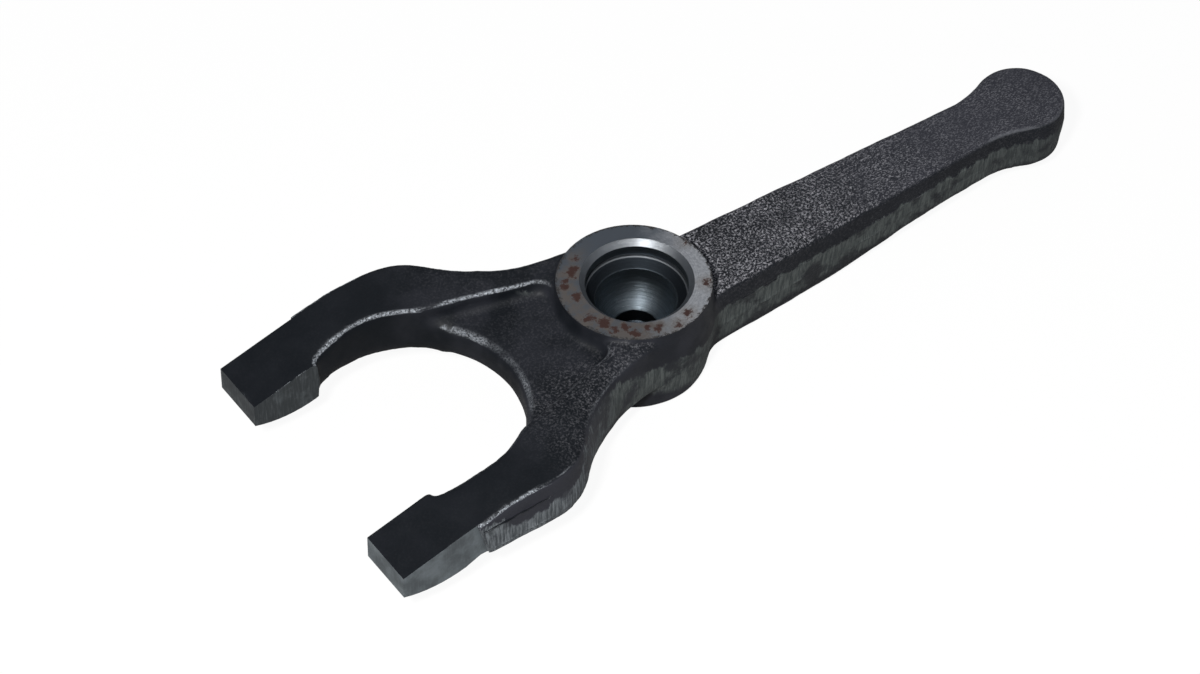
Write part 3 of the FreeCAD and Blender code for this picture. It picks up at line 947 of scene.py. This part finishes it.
@dataclass
class Fork:
    """The one-piece forging, as a fine dressed copy of its CAD shell."""

    node: str = "clutch_fork"
    slot: str = "forged_steel"
    longest_edge: float = 2.4 * MM
    ridge_edge: float = 0.9 * MM
    passes: int = 16
    ring_z: float = 10.0 * MM
    ring_reach: float = 24.2 * MM
    mouth_reach: float = 16.9 * MM
    socket_floor_z: float = -19.5 * MM
    pad_inner_y: float = 28.9 * MM
    pad_outer_y: float = 46.8 * MM
    pad_back_x: float = -86.0 * MM
    pad_foot_back_x: float = -90.5 * MM
    pad_foot_z: float = -6.8 * MM
    tip_x: float = -112.3 * MM
    hair: float = 0.06 * MM
    level: float = 0.99
    endward: float = 0.9
    downward: float = 0.8
    upright: float = 0.03
    waist_back_x: float = -52.0 * MM
    waist_front_x: float = -12.0 * MM
    waist_y: float = -20.0 * MM
    waist_z: float = 4.0 * MM
    smooth_angle: float = math.radians(32.0)
    lumps: tuple[Lumps, ...] = (Lumps(13.0, 0.045, 3), Lumps(4.5, 0.018, 5))
    sharp_bend: float = 300.0
    edge_smoothings: int = 1
    ridge_smoothings: int = 3
    relax_share: float = 0.5
    relaxing: int = 3
    waist_relaxing: int = 26
    parting_z: float = -3.0 * MM
    draft: float = math.radians(5.0)
    land_proud: float = 0.25 * MM
    land_left: float = 0.05
    ridge_bend: float = 420.0
    finishes: tuple[Any, ...] = field(default_factory=lambda: (
        SkinFinish(), RingFinish(), SocketFinish(), MilledFinish()))

    def sort_faces(self, shell: Shell) -> None:
        """Gives each triangle its region from where it lies and which way it faces.

        Args:
            shell: the joined copy, whose regions are set.
        """
        x, y, z = shell.middles().T
        nx, ny, nz = shell.face_normals().T
        reach = np.hypot(x, y)
        ring = (abs(z - self.ring_z) < self.hair) & (nz > self.level) & (reach < self.ring_reach)
        socket = (reach < self.mouth_reach) & (z > self.socket_floor_z) & ~ring
        on_pad = (abs(ny) > self.level) & (x < self.pad_back_x)
        inner = (abs(abs(y) - self.pad_inner_y) < self.hair) & on_pad
        outer = (abs(abs(y) - self.pad_outer_y) < self.hair) & on_pad
        end = (x < self.tip_x + self.hair) & (nx < -self.endward)
        foot = (nz < -self.downward) & (x < self.pad_foot_back_x) & (z < self.pad_foot_z)
        shell.regions[abs(nz) < self.upright] = Region.LAND
        shell.regions[inner | outer | end | foot] = Region.MILLED
        shell.regions[socket] = Region.SOCKET
        shell.regions[ring] = Region.RING

    def share(self, shell: Shell, *regions: Region) -> np.ndarray:
        """1 at the points whose triangles all belong to the regions, 0 at the others."""
        held = np.repeat(np.isin(shell.regions, regions).astype(float), 3)
        ends = shell.corners.ravel()
        count = np.maximum(np.bincount(ends, minlength=len(shell.points)), 1)
        return (np.bincount(ends, held, len(shell.points)) / count > WHOLE).astype(float)

    def trim_land(self, shell: Shell) -> None:
        """Draws the land of the trimmed flash back to the drafted walls, all but a trace.

        Args:
            shell: the refined copy, whose land faces become skin.
        """
        land = shell.regions == Region.LAND
        normals = np.repeat(shell.face_normals()[land], 3, axis=0)
        outward = unit(gathered(shell.corners[land].ravel(), normals, len(shell.points)))
        step = self.land_proud + abs(shell.points[:, 2] - self.parting_z) * math.tan(self.draft)
        shell.points = shell.points - outward * (step * (1.0 - self.land_left))[:, None]
        shell.regions[land] = Region.SKIN

    def build(self) -> bpy.types.Object:
        """Makes the fine shell and dresses it.

        Returns:
            The finished piece.
        """
        shell = Shell.copied(bpy.data.objects[self.node])
        self.sort_faces(shell)
        limits = shell.refine(np.full(len(shell.points), self.longest_edge), self.passes)
        formed = self.share(shell, Region.SKIN, Region.MILLED, Region.LAND)
        sharp = abs(shell.bending(self.edge_smoothings)) * formed
        limits = np.where(sharp > self.sharp_bend, self.ridge_edge, limits)
        shell.refine(limits, self.passes)
        self.trim_land(shell)
        x, y, z = shell.points.T
        skin = self.share(shell, Region.SKIN)
        waist = (x > self.waist_back_x) & (x < self.waist_front_x)
        waist = waist & (y < self.waist_y) & (z > self.waist_z)
        shell.relax(self.relax_share * skin * waist, self.waist_relaxing)
        shell.relax(self.relax_share * skin, self.relaxing)
        bend = shell.bending(self.ridge_smoothings)
        push = sum(lump.at(shell.points) for lump in self.lumps) * skin
        shell.points = shell.points + shell.normals() * push[:, None]
        mesh = bpy.data.meshes.new("fork_forging")
        mesh.from_pydata(shell.points, [], shell.corners)
        mesh.attributes.new("ridge", "FLOAT", "POINT").data.foreach_set(
            "value", np.clip(bend / self.ridge_bend, 0.0, 1.0).astype(np.float32))
        for finish in self.finishes:
            mesh.materials.append(finish.material())
        mesh.polygons.foreach_set("material_index", shell.regions.astype(np.int32))
        mesh.shade_smooth()
        mesh.set_sharp_from_angle(angle=self.smooth_angle)
        mesh.update()
        piece = bpy.data.objects.new("fork_forging", mesh)
        bpy.context.scene.collection.objects.link(piece)
        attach(piece, "root")
        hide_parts(self.node)
        LOG.info("fork_forging: %d triangles", len(shell.corners))
        return piece


# ---- Studio ------------------------------------------------------------------------------------


class Lamp(Enum):
    """Lamps: bearing and height in degrees, distance, size, power and colour."""

    FLASH = (-143.0, 50.0, 1.20, 0.12, 15.0, (1.0, 0.99, 0.97))
    BACK = (53.0, 50.0, 1.30, 1.00, 1.3, (0.90, 0.94, 1.0))
    SIDE = (-60.0, 22.0, 1.40, 0.90, 1.3, (0.94, 0.97, 1.0))


@dataclass
class Studio:
    """White floor, soft lamps and the camera."""

    view_bearing: float = math.radians(-126.7157)
    view_height: float = math.radians(47.7242)
    view_roll: float = math.radians(1.3996)
    camera_place: tuple[float, float, float] = (-0.478512, -0.624514, 0.850564)
    lens_mm: float = 119.98
    sensor_mm: float = 36.0
    sight: float = 20.0
    target: tuple[float, float, float] = (0.02, 0.0, 0.0)
    floor_half: float = 3.0
    floor_gap: float = 0.0002
    room: Colour = (0.10, 0.105, 0.115)
    camera_white: float = 0.80
    floor_grey: Colour = (0.35, 0.35, 0.35)
    glow: Colour = (1.0, 1.0, 1.0)
    glow_strength: float = 1.17

    def floor(self, lowest: float) -> bpy.types.Object:
        """White floor just under the object.

        Args:
            lowest: height of the object's lowest point.

        Returns:
            The floor.
        """
        half = self.floor_half
        corners = np.array([(-half, -half), (half, -half), (half, half), (-half, half)])
        points = np.column_stack([corners, np.full(4, lowest - self.floor_gap)])
        mesh = bpy.data.meshes.new("floor")
        mesh.from_pydata(points, [], [(0, 1, 2, 3)])
        mesh.materials.append(self.floor_material())
        floor = bpy.data.objects.new("floor", mesh)
        bpy.context.scene.collection.objects.link(floor)
        floor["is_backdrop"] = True
        return floor

    def floor_material(self) -> bpy.types.Material:
        """Dim matt floor that the camera sees as white, with a faint shadow."""
        g = Graph("white_floor")
        path = g.node("ShaderNodeLightPath", {}, {})
        seen = Field(g, path.outputs["Is Camera Ray"]) * self.camera_white
        matt = g.node("ShaderNodeBsdfDiffuse", {}, {"Color": rgba(self.floor_grey)})
        glow = g.node("ShaderNodeEmission", {},
                      {"Color": rgba(self.glow), "Strength": self.glow_strength})
        both = g.node("ShaderNodeMixShader", {},
                      {0: seen, 1: matt.outputs[0], 2: glow.outputs[0]})
        g.node("ShaderNodeOutputMaterial", {}, {"Surface": both.outputs[0]})
        return g.material

    def world(self) -> None:
        """Plain grey room, white to the camera."""
        world = bpy.data.worlds.new("room")
        world.use_nodes = True
        bpy.context.scene.world = world
        tree = world.node_tree
        tree.nodes.clear()
        path = tree.nodes.new("ShaderNodeLightPath")
        room = tree.nodes.new("ShaderNodeBackground")
        room.inputs["Color"].default_value = (*self.room, 1.0)
        white = tree.nodes.new("ShaderNodeBackground")
        white.inputs["Color"].default_value = (1.0, 1.0, 1.0, 1.0)
        both = tree.nodes.new("ShaderNodeMixShader")
        out = tree.nodes.new("ShaderNodeOutputWorld")
        tree.links.new(path.outputs["Is Camera Ray"], both.inputs[0])
        tree.links.new(room.outputs[0], both.inputs[1])
        tree.links.new(white.outputs[0], both.inputs[2])
        tree.links.new(both.outputs[0], out.inputs["Surface"])

    def lamps(self) -> None:
        """Square lamps that face the middle of the fork."""
        target = Vector(self.target)
        for lamp in Lamp:
            bearing, height, distance, size, power, colour = lamp.value
            turned, raised = math.radians(bearing), math.radians(height)
            place = distance * Vector((math.cos(raised) * math.cos(turned),
                                       math.cos(raised) * math.sin(turned), math.sin(raised)))
            light = bpy.data.lights.new(lamp.name.lower(), "AREA")
            light.shape = "SQUARE"
            light.size = size
            light.energy = power
            light.color = colour
            holder = bpy.data.objects.new(lamp.name.lower(), light)
            holder.location = place
            holder.rotation_euler = (target - place).to_track_quat("-Z", "Y").to_euler()
            bpy.context.scene.collection.objects.link(holder)

    def camera(self) -> None:
        """Long lens from the open side of the prongs, well above them."""
        flat = math.cos(self.view_height)
        back = Vector((flat * math.cos(self.view_bearing), flat * math.sin(self.view_bearing),
                       math.sin(self.view_height)))
        right = Vector((0.0, 0.0, 1.0)).cross(back).normalized()
        up = back.cross(right)
        turned_right = right * math.cos(self.view_roll) + up * math.sin(self.view_roll)
        turned_up = up * math.cos(self.view_roll) - right * math.sin(self.view_roll)
        matrix = Matrix((turned_right, turned_up, back)).transposed().to_4x4()
        matrix.translation = Vector(self.camera_place)
        data = bpy.data.cameras.new("camera")
        data.lens = self.lens_mm
        data.sensor_width = self.sensor_mm
        data.clip_end = self.sight
        camera = bpy.data.objects.new("camera", data)
        camera.matrix_world = matrix
        bpy.context.scene.collection.objects.link(camera)
        bpy.context.scene.camera = camera

    def build(self, lowest: float) -> None:
        """Sets up the whole studio.

        Args:
            lowest: height of the object's lowest point.
        """
        scene = bpy.context.scene
        scene.view_settings.view_transform = "Standard"
        self.floor(lowest)
        self.world()
        self.lamps()
        self.camera()


def plain(bounds: Any) -> list[list[float]]:
    """A box as plain lists of numbers."""
    return [[float(number) for number in corner] for corner in bounds]


def main() -> None:
    """Builds the fork and its studio."""
    logging.basicConfig(level=logging.INFO)
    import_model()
    cad_box = plain(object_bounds())
    Fork().build()
    Studio().build(cad_box[0][2])


if __name__ == "__main__":
    main()
